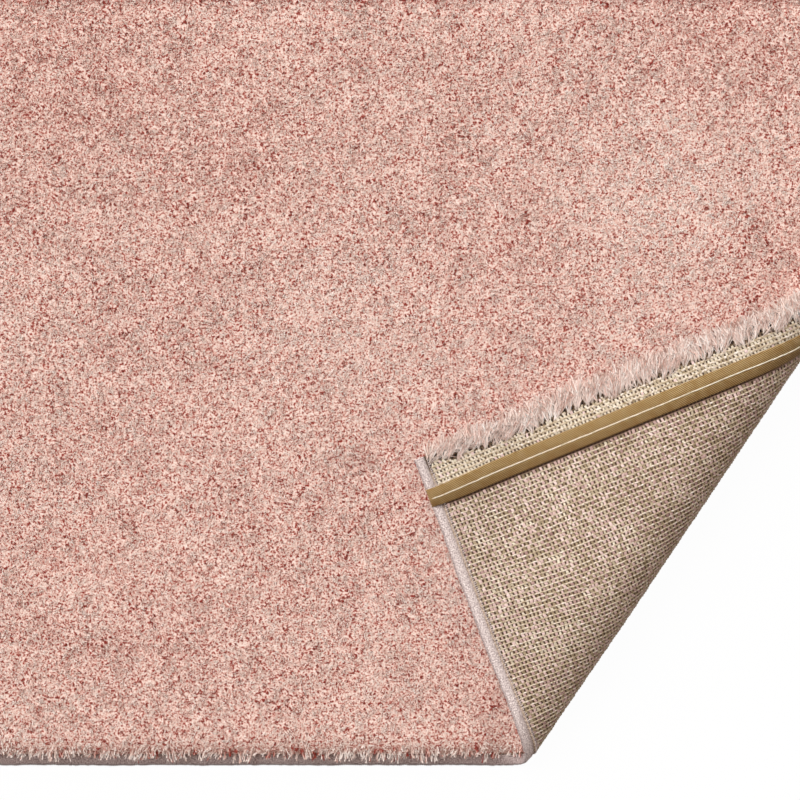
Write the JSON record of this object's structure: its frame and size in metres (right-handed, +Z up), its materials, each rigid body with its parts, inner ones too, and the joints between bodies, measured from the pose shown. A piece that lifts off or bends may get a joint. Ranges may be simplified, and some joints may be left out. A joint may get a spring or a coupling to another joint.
{
  "type": "short pile rug",
  "caption": "Rectangular short pile rug with hemmed and taped ends and overcast long edges, lying flat with one corner folded over to show the woven back.",
  "frame": {"origin": "on the floor under the middle of the rug", "axes": "+X along the rug's length, towards the end with the folded corner; +Y across it, away from the edge that is folded; +Z up"},
  "size_m": [1.5, 0.8, 0.0676],
  "materials": {
    "pile": "soft cut pile in pale salmon pink",
    "binding_yarn": "fine overcast yarn in off-white",
    "twill_tape": "khaki twill tape",
    "woven_back": "open woven ground in straw with the pile's knots showing through",
    "stitch_thread": "white sewing thread"
  },
  "bodies": {
    "root": {"rug": "pile", "edge_binding_front": "binding_yarn", "edge_binding_back": "binding_yarn", "end_tape_right": "twill_tape", "end_tape_left": "twill_tape"}
  },
  "joints": []
}
